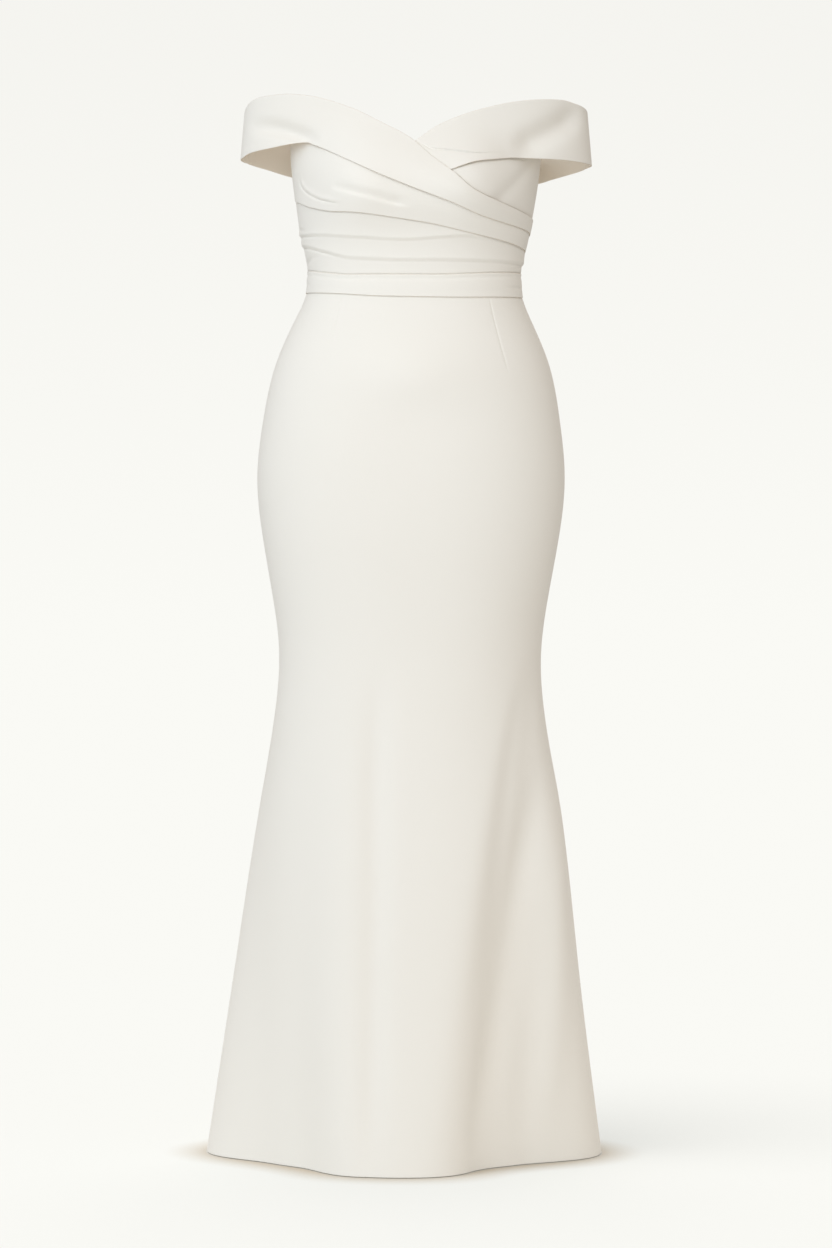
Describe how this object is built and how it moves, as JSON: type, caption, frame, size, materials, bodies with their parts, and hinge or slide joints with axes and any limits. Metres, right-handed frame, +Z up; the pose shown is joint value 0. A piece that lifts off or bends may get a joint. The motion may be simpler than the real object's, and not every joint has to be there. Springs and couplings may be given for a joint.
{
  "type": "off-shoulder dress",
  "caption": "Floor-length trumpet gown in white crepe with a crossover pleated bodice, a broad off-the-shoulder sleeve band and a flared hem, filled out as when worn.",
  "frame": {"origin": "on the body's axis at the bust line, 1.22 m above the hem, where the wearer's chest holds the bodice up", "axes": "+Z up the body, -Y towards the front of the gown, +X towards the right of someone who looks at its front"},
  "size_m": [0.502, 0.5, 1.3334],
  "materials": {
    "crepe": "matte white crepe with a slight sheen",
    "zip_tape": "woven zip tape, off-white",
    "zip_metal": "satin off-white enamel on metal"
  },
  "bodies": {
    "dress": {"band_left_front": "crepe", "band_right_front": "crepe", "cup_right_front": "crepe", "drape_left_front": "crepe", "midriff_front": "crepe", "waistband_front": "crepe", "waistband_back_left": "crepe", "waistband_back_right": "crepe", "skirt_front": "crepe", "skirt_back_left": "crepe", "skirt_back_right": "crepe", "bodice_back_left": "crepe", "bodice_back_right": "crepe", "band_back_left": "crepe", "band_back_right": "crepe", "zip_tape": "zip_tape", "zip_slider": "zip_metal"},
    "zip_pull": {"zip_pull": "zip_metal"}
  },
  "joints": [
    {"name": "zip_pull_hinge", "type": "hinge", "parent": "dress", "child": "zip_pull", "pos_m": [0, 0.0973, 0.055], "axis": [1, 0, 0], "range_deg": [0, 160]}
  ]
}
